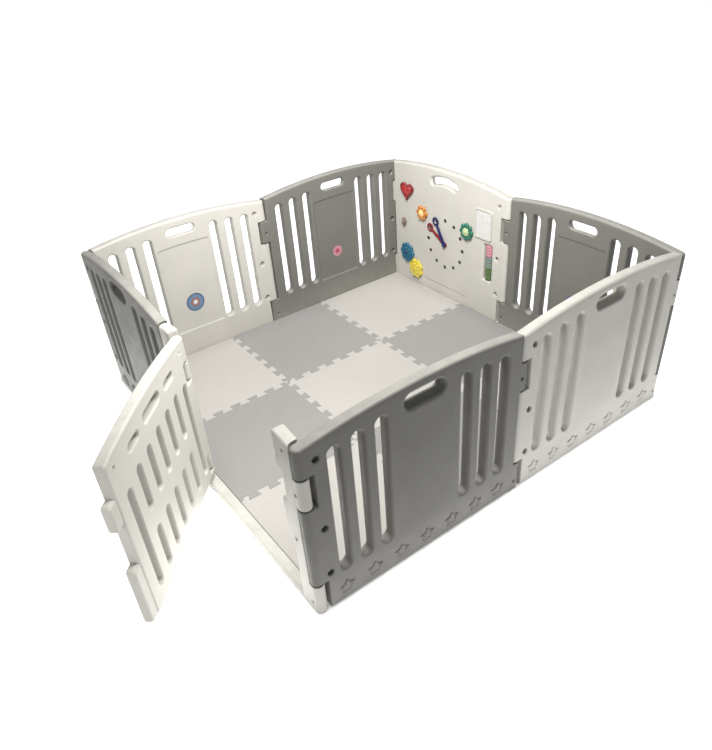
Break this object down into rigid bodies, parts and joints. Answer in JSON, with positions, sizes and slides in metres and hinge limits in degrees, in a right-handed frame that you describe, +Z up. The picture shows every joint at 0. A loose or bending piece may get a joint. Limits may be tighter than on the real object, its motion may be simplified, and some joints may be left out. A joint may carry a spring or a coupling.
{
  "type": "baby playpen",
  "caption": "Square plastic playpen of hinged slatted panels with an arched top, an opening gate, an activity panel of play pieces, and a jigsaw foam mat.",
  "frame": {"origin": "centre of the pen on the floor, under the middle of the centre tile", "axes": "+Z up; the gate side faces -Y; the activity panel is on the +Y side, its back face towards +Y"},
  "size_m": [1.5804, 1.9784, 0.635],
  "materials": {
    "white_plastic": "satin",
    "grey_plastic": "satin",
    "steel_pins": "brushed",
    "foam_white": "foam",
    "foam_grey": "foam",
    "red_plastic": "gloss",
    "orange_plastic": "gloss",
    "green_plastic": "gloss",
    "blue_plastic": "gloss",
    "yellow_plastic": "gloss",
    "brown_plastic": "gloss",
    "rivet_plastic": "gloss",
    "navy_plastic": "gloss",
    "dark_plastic": "satin",
    "pink_plastic": "gloss",
    "sage_plastic": "gloss",
    "leaf_plastic": "gloss",
    "mirror_sheet": "polished",
    "blue_sticker": "satin",
    "pink_sticker": "satin"
  },
  "bodies": {
    "pen": {"panel_activity": "white_plastic", "pins_back": "steel_pins", "tile_front_left": "foam_white", "tile_front_right": "foam_white", "tile_centre": "foam_white", "tile_back_left": "foam_white", "tile_back_right": "foam_white", "tile_front": "foam_grey", "tile_left": "foam_grey", "tile_right": "foam_grey", "tile_back": "foam_grey", "toy_rivets": "rivet_plastic", "clock_dots": "dark_plastic", "roller_rod": "steel_pins", "mirror_frame": "white_plastic", "mirror": "mirror_sheet"},
    "back_right": {"panel_back_right": "grey_plastic", "pins_back_right": "steel_pins", "sticker_back_right": "blue_sticker"},
    "right_back": {"panel_right_back": "white_plastic", "pins_right": "steel_pins"},
    "right_front": {"panel_right_front": "grey_plastic", "pins_front_right": "steel_pins"},
    "left_back": {"panel_left_back": "grey_plastic", "pins_back_left": "steel_pins", "sticker_left_back": "pink_sticker"},
    "left_front": {"panel_left_front": "white_plastic", "pins_left": "steel_pins", "sticker_left_front": "blue_sticker"},
    "front_left": {"panel_front_left": "grey_plastic", "pins_front_left": "steel_pins"},
    "gate_side": {"gate_frame": "white_plastic", "pins_front": "steel_pins", "pins_gate": "steel_pins"},
    "gate": {"gate_door": "white_plastic"},
    "heart": {"heart": "red_plastic"},
    "flower_orange": {"flower_orange": "orange_plastic"},
    "flower_green": {"flower_green": "green_plastic"},
    "gear_blue": {"gear_blue": "blue_plastic"},
    "gear_yellow": {"gear_yellow": "yellow_plastic"},
    "knob": {"knob": "brown_plastic"},
    "hour_hand": {"hour_hand": "red_plastic"},
    "minute_hand": {"minute_hand": "navy_plastic"},
    "roller_top": {"roller_top": "pink_plastic"},
    "roller_middle": {"roller_middle": "sage_plastic"},
    "roller_bottom": {"roller_bottom": "leaf_plastic"}
  },
  "joints": [
    {"name": "back_hinge", "type": "hinge", "parent": "pen", "child": "back_right", "pos_m": [0, 0.77, 0.3], "axis": [0, 0, 1], "range_deg": [0, 45]},
    {"name": "back_right_corner", "type": "hinge", "parent": "back_right", "child": "right_back", "pos_m": [0.77, 0.77, 0.3], "axis": [0, 0, 1], "range_deg": [0, 90]},
    {"name": "right_hinge", "type": "hinge", "parent": "right_back", "child": "right_front", "pos_m": [0.77, 0, 0.3], "axis": [0, 0, 1], "range_deg": [0, 45]},
    {"name": "back_left_corner", "type": "hinge", "parent": "pen", "child": "left_back", "pos_m": [-0.77, 0.77, 0.3], "axis": [0, 0, -1], "range_deg": [0, 90]},
    {"name": "left_hinge", "type": "hinge", "parent": "left_back", "child": "left_front", "pos_m": [-0.77, 0, 0.3], "axis": [0, 0, -1], "range_deg": [0, 45]},
    {"name": "front_left_corner", "type": "hinge", "parent": "left_front", "child": "front_left", "pos_m": [-0.77, -0.77, 0.3], "axis": [0, 0, -1], "range_deg": [0, 90]},
    {"name": "front_hinge", "type": "hinge", "parent": "front_left", "child": "gate_side", "pos_m": [0, -0.77, 0.3], "axis": [0, 0, -1], "range_deg": [0, 45]},
    {"name": "gate_hinge", "type": "hinge", "parent": "gate_side", "child": "gate", "pos_m": [0.08, -0.77, 0.3], "axis": [0, 0, -1], "range_deg": [-42, 56]},
    {"name": "heart_spin", "type": "hinge", "parent": "pen", "child": "heart", "pos_m": [-0.642, 0.751, 0.477], "axis": [0, -1, 0], "continuous": true},
    {"name": "orange_spin", "type": "hinge", "parent": "pen", "child": "flower_orange", "pos_m": [-0.532, 0.751, 0.4], "axis": [0, -1, 0], "continuous": true},
    {"name": "green_spin", "type": "hinge", "parent": "pen", "child": "flower_green", "pos_m": [-0.225, 0.751, 0.393], "axis": [0, -1, 0], "continuous": true},
    {"name": "blue_gear_spin", "type": "hinge", "parent": "pen", "child": "gear_blue", "pos_m": [-0.65, 0.751, 0.16], "axis": [0, -1, 0], "continuous": true},
    {"name": "yellow_gear_spin", "type": "hinge", "parent": "pen", "child": "gear_yellow", "pos_m": [-0.58331, 0.751, 0.09094], "axis": [0, -1, 0], "continuous": true},
    {"name": "knob_turn", "type": "hinge", "parent": "pen", "child": "knob", "pos_m": [-0.67, 0.751, 0.32], "axis": [0, -1, 0], "continuous": true},
    {"name": "hour_hand_turn", "type": "hinge", "parent": "pen", "child": "hour_hand", "pos_m": [-0.374, 0.751, 0.283], "axis": [0, -1, 0], "continuous": true},
    {"name": "minute_hand_turn", "type": "hinge", "parent": "pen", "child": "minute_hand", "pos_m": [-0.374, 0.751, 0.283], "axis": [0, -1, 0], "continuous": true},
    {"name": "roller_top_spin", "type": "hinge", "parent": "pen", "child": "roller_top", "pos_m": [-0.095, 0.77, 0.335], "axis": [0, 0, 1], "continuous": true},
    {"name": "roller_middle_spin", "type": "hinge", "parent": "pen", "child": "roller_middle", "pos_m": [-0.095, 0.77, 0.278], "axis": [0, 0, 1], "continuous": true},
    {"name": "roller_bottom_spin", "type": "hinge", "parent": "pen", "child": "roller_bottom", "pos_m": [-0.095, 0.77, 0.221], "axis": [0, 0, 1], "continuous": true}
  ],
  "couplings": [
    {"joint": "yellow_gear_spin", "follows": "blue_gear_spin", "ratio": -1}
  ]
}
